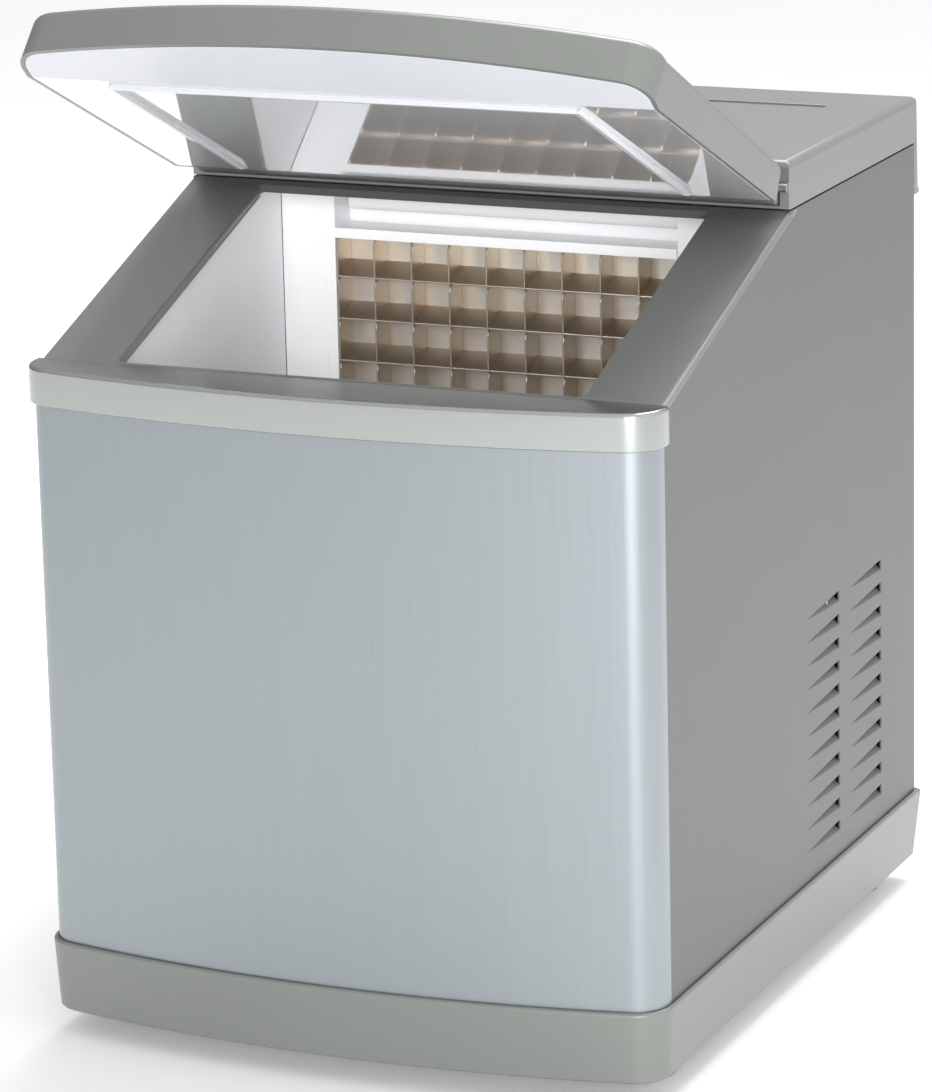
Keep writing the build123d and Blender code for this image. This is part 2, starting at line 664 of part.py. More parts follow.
def compressor_corners():
    return [(COMP_X + dx, COMP_Y + dy) for dx in (-62, 62) for dy in (-35, 35)]


def compressor_grommets():
    """Four rubber mounts through the foot plate."""
    grommets = []
    for x, y in compressor_corners():
        ring = rod_z(x, y, PAN_TOP, PAN_TOP + 10, 9) + rod_z(x, y, PAN_TOP + 10, PAN_TOP + 14, 5.4)
        ring += rod_z(x, y, PAN_TOP + 13.3, PAN_TOP + 16, 8)
        grommets.append(ring - rod_z(x, y, PAN_TOP - 1, PAN_TOP + 20, 3.1))
    return Compound(children=grommets)


def compressor_bolts():
    bolts = []
    for x, y in compressor_corners():
        bolts.append(rod_z(x, y, PAN_TOP, PAN_TOP + 16, 3.0) + rod_z(x, y, PAN_TOP + 16, PAN_TOP + 20, 6.5))
    return Compound(children=bolts)


def relay_cover():
    """Plastic cap over the compressor's start relay."""
    cap = box(COMP_X - 78, COMP_X - 46, COMP_Y - 18, COMP_Y + 18, 62, 106)
    return cap - rod_z(COMP_X, COMP_Y, 60, 110, 56.05)


FIN_X0, FIN_X1 = 124.0, 158.0
FIN_Y0, FIN_Y1 = 30.0, 146.0
FIN_Z0, FIN_Z1 = 30.0, 188.0
TUBE_ROWS = (52.0, 82.0, 112.0, 142.0, 172.0)


def condenser_fins():
    """Stack of thin aluminium plates threaded on the copper tube."""
    fins = []
    x = (FIN_X0 + FIN_X1) / 2
    for number in range(24):
        y = FIN_Y0 + 5 + number * 4.6
        plate = box(FIN_X0, FIN_X1, y, y + 0.7, FIN_Z0, FIN_Z1)
        for z in TUBE_ROWS:
            plate -= rod_y(x, y - 1, y + 2, z, 4.0)
        fins.append(plate)
    return Compound(children=fins)


def condenser_tube():
    """Copper tube that passes through the fins five times."""
    x = (FIN_X0 + FIN_X1) / 2
    points = [(x, FIN_Y1 + 14, TUBE_ROWS[0])]
    y = FIN_Y0 - 10
    for low, high in zip(TUBE_ROWS, TUBE_ROWS[1:]):
        points += [(x, y, low), (x, y, high)]
        y = FIN_Y1 + 10 if y < FIN_Y0 else FIN_Y0 - 10
    points.append((x, FIN_Y0 - 4, TUBE_ROWS[-1]))
    return tube(points, 9, 4.0)


def fan_shroud():
    """Square duct from the condenser to the round fan opening."""
    x0, x1 = 108.0, 123.5
    y0, y1 = FAN_Y - 62, FAN_Y + 62
    shroud = box(x0, x1, y0, y1, FAN_Z - 78, FAN_Z + 74)
    shroud -= box(x0 + 2, x1 + 1, y0 + 2, y1 - 2, FAN_Z - 76, FAN_Z + 72)
    shroud -= rod_x(x0 - 1, x0 + 3, FAN_Y, FAN_Z, 57)
    shroud += box(x0, x0 + 14, FAN_Y - 30, FAN_Y + 30, PAN_TOP, FAN_Z - 77)
    arm = box(80, 84, -3, 3, 22, 62) + box(80, x0 + 1, -3, 3, 57.5, 62)
    for angle in (90, 210, 330):
        shroud += Pos(0, FAN_Y, FAN_Z) * Rot(angle, 0, 0) * arm
    shroud += rod_x(80, 84, FAN_Y, FAN_Z, 30)
    shroud -= rod_x(79, 85, FAN_Y, FAN_Z, 6.0)
    return shroud


def fan_motor():
    """Small shaded-pole motor with its shaft towards the condenser."""
    motor = rod_x(52, 80, FAN_Y, FAN_Z, 24)
    motor += rod_x(80, 84.5, FAN_Y, FAN_Z, 5.9)
    return motor + rod_x(84, 102, FAN_Y, FAN_Z, 2.5)


def fan_blades():
    """Five-blade axial fan."""
    hub = rod_x(88, 104, FAN_Y, FAN_Z, 14)
    fan = hub
    for number in range(5):
        blade = Rot(0, 0, 32) * Box(16, 1.6, 40)
        blade = Pos(96, 0, 33) * blade
        fan += Pos(0, FAN_Y, FAN_Z) * Rot(number * 72, 0, 0) * blade
    return fan - rod_x(80, 102.2, FAN_Y, FAN_Z, 2.55)


DRIER_X, DRIER_Y = 20.0, 170.0


def filter_drier():
    """Copper drier cartridge with tapered ends."""
    body = rod_z(DRIER_X, DRIER_Y, 70, 130, 10)
    tip = Cone(10, 3, 10)
    body += Pos(DRIER_X, DRIER_Y, 135) * tip
    return body + Pos(DRIER_X, DRIER_Y, 65) * Rot(180, 0, 0) * tip


def hot_gas_valve():
    """Brass valve with its solenoid coil."""
    valve = rod_z(48, 172, 90, 104, 8) + rod_z(48, 172, 104, 140, 4)
    coil = box(32, 64, 158, 186, 108, 134)
    return valve + coil


def suction_line():
    """Large copper pipe from the freezing plate back to the compressor."""
    x, z = COIL_ENDS[1]
    points = [(x, COIL_BACK, z), (x, 92, z), (x, 92, 240), (COMP_X, COMP_Y + 78, 220)]
    points += [(COMP_X, COMP_Y + 78, 109.5), (COMP_X, COMP_Y + 66, 109.5)]
    return tube(points, 5.5, 3.4)


def discharge_line():
    """Pipe from the compressor to the condenser."""
    base = PAN_TOP + 10
    points = [(COMP_X + 66, COMP_Y, base + 40), (14, COMP_Y, base + 40), (34, 190, base + 10)]
    points += [(120, 190, base + 22.5), (141, 190, 52), (141, FIN_Y1 + 14, 52)]
    branch = tube([(48, 190, base + 12), (48, 190, 72), (48, 172, 80), (48, 172, 90)], 4.5, 3.0)
    return tube(points, 6, 3.4) + branch


def capillary_tube():
    """Thin pipe from the drier up to the freezing plate."""
    x, z = COIL_ENDS[0]
    points = [(DRIER_X, DRIER_Y, 140), (DRIER_X, DRIER_Y, 158), (DRIER_X, 197, 180)]
    points += [(DRIER_X, 197, 350), (x, 150, z)]
    return tube(points + [(x, COIL_BACK, z)], 9, 1.6)


def hot_gas_line():
    """Bypass pipe from the solenoid valve towards the freezing plate."""
    points = [(48, 172, 140), (48, 172, 158), (48, 197, 180), (48, 197, 400), (-60, 110, 400)]
    return tube(points + [(-60, WALL_Y + 1.3, 400)], 9, 3.0)


def liquid_line():
    """Pipe from the condenser's last row to the drier."""
    x = (FIN_X0 + FIN_X1) / 2
    points = [(x, FIN_Y0 - 4, TUBE_ROWS[-1]), (x, 10, TUBE_ROWS[-1]), (x, 10, 26)]
    points += [(DRIER_X, 10, 26), (DRIER_X, DRIER_Y, 26), (DRIER_X, DRIER_Y, 60)]
    return tube(points, 6, 2.4)


# ------------------------------------------------------------------ electrics and drain
def power_inlet():
    """Three-pin appliance inlet set in the back panel."""
    body = box(INLET_X - 13.8, INLET_X + 13.8, REAR_Y - 24, REAR_Y, INLET_Z - 10.8, INLET_Z + 10.8)
    body += box(INLET_X - 18, INLET_X + 18, REAR_Y, REAR_Y + 2, INLET_Z - 14, INLET_Z + 14)
    body -= box(INLET_X - 11.5, INLET_X + 11.5, REAR_Y - 17, REAR_Y + 3, INLET_Z - 7.5, INLET_Z + 7.5)
    for dx, dz in ((-7, -2), (0, 2), (7, -2)):
        x, z = INLET_X + dx, INLET_Z + dz
        body += box(x - 1, x + 1, REAR_Y - 18, REAR_Y - 4, z - 2, z + 2)
    return body


def power_board():
    """Supply board with transformer and relays, on the floor of the top bay."""
    board = box(-30, 90, 80, 190, 300, 301.6)
    board += box(-20, 22, 90, 126, 301.6, 332)
    board += box(40, 60, 95, 125, 301.6, 318)
    board += box(62, 82, 95, 125, 301.6, 318)
    board += rod_z(70, 165, 301.6, 326, 9)
    return board


def board_bracket():
    """Folded steel shelf that carries the supply board, fixed to the partition."""
    shelf = box(-34, 94, WALL_Y + SHEET, 194, 298.5, 300)
    shelf += box(-34, 94, WALL_Y + SHEET, WALL_Y + SHEET + 1.5, 298.5, 320)
    return shelf


def drain_spout():
    """Outlet pipe with a flange on the back panel."""
    spout = rod_y(DRAIN_X, REAR_Y, REAR_Y + 2, DRAIN_Z, 10)
    spout += rod_y(DRAIN_X, REAR_Y - 20, REAR_Y, DRAIN_Z, 6.9)
    return spout - rod_y(DRAIN_X, REAR_Y - 21, REAR_Y + 3, DRAIN_Z, 4.5)


def drain_plug():
    """Push-in rubber plug with a finger flange."""
    plug = rod_y(DRAIN_X, REAR_Y - 12, REAR_Y + 2.2, DRAIN_Z, 4.3)
    return plug + rod_y(DRAIN_X, REAR_Y + 2.2, REAR_Y + 5.6, DRAIN_Z, 8.5)


def drain_hose():
    """Hose from the sump's outlet down to the drain spout."""
    points = [(DRAIN_X + 4, 61, 206), (DRAIN_X + 4, 90, 206), (-158, 130, 150), (-158, 150, 90)]
    points += [(DRAIN_X, 170, DRAIN_Z), (DRAIN_X, REAR_Y - 14, DRAIN_Z)]
    return tube(points, 8, 4.2)


def main():
    os.makedirs("parts", exist_ok=True)
    right = side_panel()
    save(right, "side_panel_right")
    save(mirrored(right), "side_panel_left")
    for x, name in zip(BUTTON_XS, BUTTON_NAMES):
        save(button(x), name)
    for make in SINGLE_PIECES:
        save(make(), make.__name__)


SINGLE_PIECES = (
    base_pan,
    base_skirt,
    feet,
    front_panel,
    back_panel,
    panel_screws,
    front_band,
    deck_frame,
    top_cover,
    hinge_pins,
    control_panel,
    display_window,
    indicator_lenses,
    control_board,
    lid_shell,
    lid_liner,
    lid_lip_trim,
    lid_rib_frame,
    bin_liner,
    bin_insulation,
    partition_wall,
    evaporator_frame,
    evaporator_plate,
    evaporator_grid,
    evaporator_coil,
    spray_tube,
    ice_chute,
    sump_tank,
    pump_housing,
    pump_impeller,
    pump_motor,
    pump_hose,
    compressor,
    compressor_grommets,
    compressor_bolts,
    relay_cover,
    condenser_fins,
    condenser_tube,
    fan_shroud,
    fan_motor,
    fan_blades,
    filter_drier,
    hot_gas_valve,
    suction_line,
    discharge_line,
    liquid_line,
    hot_gas_line,
    capillary_tube,
    power_inlet,
    power_board,
    board_bracket,
    drain_spout,
    drain_plug,
    drain_hose,
)

main()
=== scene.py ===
import json
from math import cos, hypot, pi, radians, sin, sqrt

import bmesh
import bpy
from bpy.props import FloatProperty, FloatVectorProperty, PointerProperty
from mathutils import Matrix, Vector


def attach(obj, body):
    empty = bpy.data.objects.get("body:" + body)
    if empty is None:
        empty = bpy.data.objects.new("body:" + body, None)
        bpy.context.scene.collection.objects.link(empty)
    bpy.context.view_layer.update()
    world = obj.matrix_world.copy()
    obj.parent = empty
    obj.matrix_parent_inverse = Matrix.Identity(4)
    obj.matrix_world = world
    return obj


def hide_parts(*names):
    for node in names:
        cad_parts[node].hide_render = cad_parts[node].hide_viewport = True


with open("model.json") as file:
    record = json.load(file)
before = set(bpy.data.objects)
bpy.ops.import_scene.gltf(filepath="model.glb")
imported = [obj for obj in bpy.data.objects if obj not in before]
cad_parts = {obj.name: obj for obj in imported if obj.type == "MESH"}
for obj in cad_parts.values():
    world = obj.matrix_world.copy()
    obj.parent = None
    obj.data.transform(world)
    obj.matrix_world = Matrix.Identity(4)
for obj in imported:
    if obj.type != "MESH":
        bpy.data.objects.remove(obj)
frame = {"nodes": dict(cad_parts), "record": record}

bl_info = {
    "name": "Countertop Ice Maker",
    "version": (1, 0, 0),
    "blender": (4, 5, 0),
    "location": "3D View > Sidebar > Ice Maker",
    "description": "Builds the visible pieces and finishes of a countertop ice maker",
    "category": "Object",
}

# ------------------------------------------------------------------ sizes, metres
HALF = 0.175
FRONT_Y = -0.196
REAR_Y = 0.208
BOW = 0.0193
CORNER = 0.018
SHEET = 0.0012
PANEL_BOTTOM = 0.040
PANEL_TOP = 0.362
SKIRT_BOTTOM = 0.0145
SKIRT_TOP = 0.0535
SKIRT_PROUD = 0.003
SKIRT_REAR = 0.214
BAND_BOTTOM = 0.348
LEDGE_Z = 0.368
FOLD_Y = -0.178
SLOPE_TOP_Y = 0.006
SLOPE_TOP_Z = 0.4313
DECK = 0.0025
OPENING_HALF = 0.1315
OPENING_FRONT = 0.0016
OPENING_REAR = 0.005
OPENING_LIP = 0.0035
COVER_TOP = 0.458
COVER_REAR = 0.214
HOOK_REAR = 0.2183
HOOK_BOTTOM = 0.4025
HINGE_Y = 0.005
HINGE_Z = 0.444
LID_OPEN = 44.0
BARREL_R = 0.0093
COVE_R = 0.0101
CHEEK_X = 0.169
LID_GAP = 0.0006
LID_REAR_S = 0.181
LID_FRONT_THICK = 0.0264
LID_REAR_THICK = 0.0209
LID_SIDE = 0.0002
LID_FRONT = 0.0028
LID_WALL = 0.0025
LINER_TOP = LID_GAP + 0.0024
RIB_HALF = 0.1307
RIB_WIDE = 0.0022
RIB_DEEP = 0.0028
CELL = 0.0224
CELL_DROP = 0.0238
COLUMNS = 9
ROWS = 5
PLATE_Y = 0.049
GRID_FRONT = 0.0315
GRID_TOP = 0.396
SHELF_FRONT_Z = 0.3735
SHELF_RISE = 0.0065
FIN = 0.0011
PANEL_Y = 0.082
CLEAR = 0.2
BOW_RADIUS = (HALF**2 + BOW**2) / (2 * BOW)
RUN = hypot(SLOPE_TOP_Y - FOLD_Y, SLOPE_TOP_Z - LEDGE_Z)
SLOPE_COS = (SLOPE_TOP_Y - FOLD_Y) / RUN
SLOPE_SIN = (SLOPE_TOP_Z - LEDGE_Z) / RUN
SLOPE_HALF_TAN = SLOPE_SIN / (1 + SLOPE_COS)

# ------------------------------------------------------------------ view, degrees, metres and millimetres
CAMERA_ANGLES = (23.866, 14.801, -1.339)
CAMERA_AIM = (-0.0310, 0.0406, 0.2233)
CAMERA_DISTANCE = 2.892
CAMERA_LENS = 171.1


# ------------------------------------------------------------------ shaders
class Socket:
    """An output of a shader node; arithmetic on it adds Math or Vector Math nodes."""

    def __init__(self, shader, output):
        self.shader = shader
        self.output = output

    def maths(self, operation, *values):
        many = any(isinstance(v, tuple) or isinstance(v, Socket) and v.output.type != "VALUE" for v in values)
        node = self.shader.tree.nodes.new("ShaderNodeVectorMath" if many else "ShaderNodeMath")
        node.operation = operation
        for place, value in zip(node.inputs, values):
            self.shader.feed(place, value)
        return Socket(self.shader, node.outputs[0])

    def __add__(self, other):
        return self.maths("ADD", self, other)

    def __radd__(self, other):
        return self.maths("ADD", other, self)

    def __sub__(self, other):
        return self.maths("SUBTRACT", self, other)

    def __rsub__(self, other):
        return self.maths("SUBTRACT", other, self)

    def __mul__(self, other):
        return self.maths("MULTIPLY", self, other)

    def __rmul__(self, other):
        return self.maths("MULTIPLY", other, self)

    def between(self, low, high):
        """0 below low, 1 above high, and straight between."""
        node = self.shader.tree.nodes.new("ShaderNodeMapRange")
        self.shader.feed(node.inputs[0], self)
        node.inputs[1].default_value = low
        node.inputs[2].default_value = high
        return Socket(self.shader, node.outputs[0])


class Shader:
    """A procedural material being made."""

    def __init__(self, name, colour, roughness, metallic=0.0, **constants):
        self.material = bpy.data.materials.new(name)
        self.material.use_nodes = True
        self.tree = self.material.node_tree
        self.surface = self.tree.nodes["Principled BSDF"]
        self.set("Base Color", colour)
        self.set("Roughness", roughness)
        self.set("Metallic", metallic)
        for key, value in constants.items():
            self.set(key.replace("_", " "), value)
        self.place = self.node("TexCoord", output="Object")
        self.material.diffuse_color = (*colour[:3], 1.0)

    def feed(self, place, value):
        if isinstance(value, Socket):
            self.tree.links.new(value.output, place)
        elif place.type == "RGBA" and len(value) == 3:
            place.default_value = (*value, 1.0)
        else:
            place.default_value = value

    def set(self, name, value):
        self.feed(self.surface.inputs[name], value)

    def node(self, kind, settings=None, output=0, **values):
        """Any node: its settings, then socket values or links by name."""
        added = self.tree.nodes.new("ShaderNode" + kind)
        for name, value in (settings or {}).items():
            setattr(added, name, value)
        for name, value in values.items():
            self.feed(added.inputs[name.replace("_", " ")], value)
        return Socket(self, added.outputs[output])

    def noise(self, scale, stretch=(1.0, 1.0, 1.0), detail=3.0, roughness=0.55):
        """Noise with that many features a metre, squeezed along each axis by stretch."""
        place = self.node("Mapping", Vector=self.place, Scale=tuple(scale * s for s in stretch))
        return self.node("TexNoise", Vector=place, Scale=1.0, Detail=detail, Roughness=roughness)

    def mix(self, first, second, factor):
        """A colour from first, at factor 0, to second, at factor 1."""
        added = self.tree.nodes.new("ShaderNodeMix")
        added.data_type = "RGBA"
        self.feed(added.inputs[0], factor)
        self.feed(added.inputs[6], first)
        self.feed(added.inputs[7], second)
        return Socket(self, added.outputs[2])

    def bump(self, height, distance, strength=1.0):
        self.set("Normal", self.node("Bump", Height=height, Distance=distance, Strength=strength))


def tone(red, green, blue):
    """Display values 0 to 255 as a linear colour."""
    return tuple(((v / 255 + 0.055) / 1.055) ** 2.4 for v in (red, green, blue))


def darker(colour, amount):
    """A colour times amount, which may be over 1."""
    return tuple(c * amount for c in colour[:3])


def brushed(name, colour, stretch, roughness=0.36, metallic=0.85, contrast=0.14):
    """Sheet metal with fine scratches along one direction and slow tone changes."""
    s = Shader(name, colour, roughness, metallic)
    fine = s.noise(1500.0, stretch, 2.0)
    broad = s.noise(260.0, stretch, 2.0)
    patches = s.noise(9.0)
    grain = fine * 0.6 + broad * 0.4
    s.set("Base Color", s.mix(darker(colour, 1 - contrast), darker(colour, 1 + contrast), grain))
    s.set("Roughness", roughness - 0.05 + grain * 0.1 + patches * 0.05)
    s.bump(grain, 0.00008)
    return s.material


def painted(name, colour, roughness=0.42, metallic=0.35):
    """Satin coat with a faint orange peel and a little dust."""
    s = Shader(name, colour, roughness, metallic)
    peel = s.noise(900.0, detail=2.0)
    patches = s.noise(14.0, detail=4.0)
    s.set("Base Color", s.mix(darker(colour, 0.95), darker(colour, 1.05), patches))
    s.set("Roughness", roughness - 0.04 + patches * 0.08)
    s.bump(peel, 0.00006)
    return s.material


def moulded(name, colour, roughness=0.35, coat=0.0, grain=1400.0, depth=0.00005, **constants):
    """Moulded plastic with fine grain and slow tone changes."""
    s = Shader(name, colour, roughness, Coat_Weight=coat, **constants)
    grains = s.noise(grain, detail=2.0)
    patches = s.noise(22.0, detail=4.0)
    s.set("Base Color", s.mix(darker(colour, 0.96), darker(colour, 1.04), patches))
    s.set("Roughness", roughness - 0.05 + grains * 0.06 + patches * 0.05)
    s.bump(grains, depth)
    return s.material


def metal(name, colour, roughness, metallic=1.0, scale=500.0, depth=0.00006):
    """Plain metal with uneven polish and fine pits."""
    s = Shader(name, colour, roughness, metallic)
    pits = s.noise(scale, detail=5.0)
    patches = s.noise(30.0, detail=4.0)
    s.set("Base Color", s.mix(darker(colour, 0.82), darker(colour, 1.08), patches))
    s.set("Roughness", roughness - 0.06 + patches * 0.14)
    s.bump(pits, depth)
    return s.material


def lidded_metallic(name, colour):
    """Silver-painted plastic: fine metal flake under a satin lacquer."""
    s = Shader(name, colour, 0.38, 0.45, Coat_Weight=0.15, Coat_Roughness=0.25)
    flake = s.noise(3500.0, detail=1.0)
    patches = s.noise(11.0, detail=3.0)
    s.set("Base Color", s.mix(darker(colour, 0.9), darker(colour, 1.1), flake * 0.7 + patches * 0.3))
    s.set("Roughness", 0.33 + flake * 0.06 + patches * 0.06)
    s.bump(flake, 0.00004)
    return s.material


def iced_nickel(name, colour):
    """Nickel plate with mineral film in soft bands."""
    s = Shader(name, colour, 0.3, 0.9)
    film = s.noise(120.0, (1.0, 1.0, 0.4), 5.0)
    pits = s.noise(900.0, detail=3.0)
    warm = (colour[0] * 1.05, colour[1] * 0.96, colour[2] * 0.86)
    s.set("Base Color", s.mix(colour, warm, film.between(0.35, 0.7)))
    s.set("Roughness", 0.24 + film * 0.18)
    s.bump(pits, 0.00005)
    return s.material


def glossy_panel(name, colour, roughness=0.08):
    """Polished plastic with faint swirls and finger marks."""
    s = Shader(name, colour, roughness, Coat_Weight=0.6, Coat_Roughness=0.05)
    swirls = s.noise(700.0, (1.0, 0.15, 1.0), 2.0)
    marks = s.noise(26.0, detail=6.0)
    s.set("Roughness", roughness + marks.between(0.45, 0.8) * 0.12)
    s.bump(swirls, 0.00001)
    return s.material


def lamp(name, colour):
    """Small frosted lens with a faint glow."""
    s = Shader(name, colour, 0.25, Transmission_Weight=0.4)
    frost = s.noise(2500.0)
    s.set("Emission Color", colour)
    s.surface.inputs["Emission Strength"].default_value = 0.15
    s.set("Roughness", 0.2 + frost * 0.2)
    s.bump(frost, 0.00003)
    return s.material


def mirror_liner(name, colour):
    """Glossy silver-backed lid liner."""
    s = Shader(name, colour, 0.07, 0.3, Coat_Weight=1.0, Coat_Roughness=0.03)
    waves = s.noise(16.0, detail=2.0)
    marks = s.noise(60.0, detail=6.0)
    s.set("Roughness", 0.03 + marks.between(0.4, 0.9) * 0.05)
    s.bump(waves, 0.0004, 0.12)
    return s.material


def circuit(name, colour):
    """Solder mask with paler tracks."""
    s = Shader(name, colour, 0.3, Coat_Weight=0.4)
    square = {"feature": "DISTANCE_TO_EDGE", "distance": "CHEBYCHEV"}
    cells = s.node("TexVoronoi", square, Vector=s.place, Scale=160.0)
    mask = cells.between(0.06, 0.1)
    s.set("Base Color", s.mix(colour, darker(colour, 1.8), 1 - mask))
    s.bump(mask, 0.00003)
    return s.material


def foam(name, colour):
    """Open-celled foam."""
    s = Shader(name, colour, 0.9, Sheen_Weight=0.2)
    cells = s.node("TexVoronoi", Vector=s.place, Scale=700.0)
    s.set("Base Color", s.mix(darker(colour, 0.8), colour, cells))
    s.bump(cells, 0.0003)
    return s.material


def finishes(look):
    """Every material slot's finish."""
    front = tuple(look.front_colour)
    side = tuple(look.side_colour)
    silver = tuple(look.silver_colour)
    white = tuple(look.white_colour)
    return {
        "brushed_front_sheet": brushed("Brushed front sheet", front, (1.0, 1.0, 0.012), contrast=0.09),
        "satin_side_sheet": painted("Satin side sheet", side),
        "zinc_sheet": metal("Zinc sheet", tone(185, 187, 186), 0.42, 0.8, 120.0),
        "bright_trim": brushed("Bright trim", tone(177, 180, 177), (0.012, 1.0, 1.0), 0.17, 0.95, 0.06),
        "silver_plastic": lidded_metallic("Silver plastic", silver),
        "white_plastic": moulded("White plastic", white, 0.32, 0.1),
        "clear_liner": mirror_liner("Lid liner", tone(212, 214, 217)),
        "black_plastic": moulded("Black plastic", tone(36, 37, 38), 0.45),
        "panel_gloss": glossy_panel("Panel gloss", tone(30, 31, 33)),
        "display_glass": glossy_panel("Display glass", tone(12, 14, 18), 0.04),
        "lamp_lens": lamp("Lamp lens", tone(120, 200, 150)),
        "button_plastic": moulded("Button plastic", tone(196, 198, 197), 0.28, 0.3),
        "nickel_plate": iced_nickel("Nickel plate", tone(238, 234, 227)),
        "nickel_grid": iced_nickel("Nickel grid", tone(190, 181, 169)),
        "copper": metal("Copper", tone(196, 118, 78), 0.28),
        "fin_aluminium": brushed("Fin aluminium", tone(205, 207, 209), (1.0, 0.02, 1.0), 0.3),
        "black_paint": painted("Black paint", tone(34, 34, 35), 0.35, 0.0),
        "foam": foam("Foam", tone(222, 214, 190)),
        "rubber_black": moulded("Black rubber", tone(28, 28, 28), 0.75, 0.0, 900.0, 0.0001),
        "hose_clear": moulded("Milky hose", tone(215, 220, 222), 0.2, Transmission_Weight=0.3),
        "circuit_board": circuit("Circuit board", tone(30, 92, 58)),
        "steel_fastener": metal("Steel fastener", tone(190, 191, 193), 0.3),
        "motor_steel": metal("Motor steel", tone(160, 162, 165), 0.36),
        "brass_valve": metal("Brass valve", tone(200, 166, 96), 0.3),
    }


FINISH = {}


# ------------------------------------------------------------------ mesh helpers
def outline(grow, rear, corner=CORNER, forward=0.0, steps=10, spans=64):
    """Plan of the cabinet grown outwards, from the rear left round the bowed front to the rear right."""
    radius = BOW_RADIUS + grow
    half = HALF + grow
    fillet = corner + grow
    middle = FRONT_Y - BOW + BOW_RADIUS
    cx = half - fillet
    cy = middle - sqrt((radius - fillet) ** 2 - cx**2)
    turn = Vector((cx, cy - middle)).normalized()
    start = Vector((0.0, -1.0)).angle(turn)
    right = []
    for i in range(spans // 2 + 1):
        a = start * i / (spans // 2)
        right.append((radius * sin(a), middle - radius * cos(a)))
    for i in range(1, steps + 1):
        a = -pi / 2 + start + (pi / 2 - start) * i / steps
        right.append((cx + fillet * cos(a), cy + fillet * sin(a)))
    right.append((half, rear))
    left = [(-x, y) for x, y in reversed(right[1:])]
    return [(x, y - forward) for x, y in left + right]


def made(name, points, faces):
    """A new object from points and faces, with its normals outwards."""
    mesh = bpy.data.meshes.new(name)
    mesh.from_pydata([tuple(p) for p in points], [], faces)
    shape = bmesh.new()
    shape.from_mesh(mesh)
    bmesh.ops.remove_doubles(shape, verts=shape.verts, dist=1e-7)
    bmesh.ops.recalc_face_normals(shape, faces=shape.faces)
    shape.to_mesh(mesh)
    shape.free()
    piece = bpy.data.objects.new(name, mesh)
    bpy.context.scene.collection.objects.link(piece)
    return piece


def between_rings(name, rings, caps=True, around=True):
    """A skin through rings of equally many points, with flat caps on the first and last."""
    size = len(rings[0])
    points = [p for ring in rings for p in ring]
    faces = []
    for i in range(len(rings) - 1):
        for j in range(size if around else size - 1):
            k = (j + 1) % size
            faces.append((i * size + j, i * size + k, (i + 1) * size + k, (i + 1) * size + j))
    if caps:
        faces.append(tuple(range(size)))
        faces.append(tuple(range((len(rings) - 1) * size, len(rings) * size)))
    return made(name, points, faces)


def prism_z(name, plan, low, high):
    return between_rings(name, [[(x, y, z) for x, y in plan] for z in (low, high)])


def prism_x(name, side, low, high):
    return between_rings(name, [[(x, y, z) for y, z in side] for x in (low, high)])


def block(name, x0, x1, y0, y1, z0, z1):
    return prism_z(name, [(x0, y0), (x1, y0), (x1, y1), (x0, y1)], z0, z1)


def rod_x(name, x0, x1, y, z, r, spans=64):
    ring = [(y + r * cos(2 * pi * i / spans), z + r * sin(2 * pi * i / spans)) for i in range(spans)]
    return prism_x(name, ring, x0, x1)


def bake(piece):
    """Applies a piece's modifiers to its mesh."""
    graph = bpy.context.evaluated_depsgraph_get()
    mesh = bpy.data.meshes.new_from_object(piece.evaluated_get(graph))
    piece.modifiers.clear()
    piece.data = mesh


def combine(piece, tool, operation="DIFFERENCE"):
    """Cuts tool out of piece, keeps what they share, or joins them. The tool is used up."""
    change = piece.modifiers.new("Combine", "BOOLEAN")
    change.operation = operation
    change.solver = "EXACT"
    change.object = tool
    bake(piece)
    bpy.data.objects.remove(tool)
    return piece


def merge(piece, others):
    """Adds other objects' faces to piece as they are."""
    shape = bmesh.new()
    shape.from_mesh(piece.data)
    for other in others:
        shape.from_mesh(other.data)
        bpy.data.objects.remove(other)
    shape.to_mesh(piece.data)
    shape.free()
    return piece


def round_edges(piece, width, wanted, segments=5):
    """Rounds the sharp edges that wanted(midpoint, direction) picks."""
    shape = bmesh.new()
    shape.from_mesh(piece.data)
    bmesh.ops.remove_doubles(shape, verts=shape.verts, dist=1e-6)
    bmesh.ops.dissolve_limit(shape, angle_limit=radians(0.3), verts=shape.verts, edges=shape.edges)
    picked = []
    for edge in shape.edges:
        if len(edge.link_faces) != 2 or edge.calc_face_angle(0.0) < radians(25):
            continue
        middle = (edge.verts[0].co + edge.verts[1].co) / 2
        along = (edge.verts[1].co - edge.verts[0].co).normalized()
        if wanted(middle, along):
            picked.append(edge)
    bmesh.ops.bevel(
        shape, geom=picked, offset=width, segments=segments, profile=0.5, affect="EDGES", clamp_overlap=True
    )
    shape.to_mesh(piece.data)
    shape.free()
    return piece


def soften(piece, width, segments=3, angle=28.0):
    """Small radii on every sharp edge, with flat faces kept flat in shading."""
    edge = piece.modifiers.new("Edge radii", "BEVEL")
    edge.width = width
    edge.segments = segments
    edge.limit_method = "ANGLE"
    edge.angle_limit = radians(angle)
    edge.use_clamp_overlap = True
    smooth(piece)
    return piece


def smooth(piece):
    for face in piece.data.polygons:
        face.use_smooth = True
    flat = piece.modifiers.new("Flat faces", "WEIGHTED_NORMAL")
    flat.mode = "FACE_AREA_WITH_ANGLE"
    flat.weight = 60
    return piece


def opened(piece):
    """Turns a piece of the lid from shut to its rest angle."""
    hinge = Vector((0.0, HINGE_Y, HINGE_Z))
    turn = Matrix.Rotation(radians(-LID_OPEN), 4, "X")
    piece.data.transform(Matrix.Translation(hinge) @ turn @ Matrix.Translation(-hinge))
    return piece


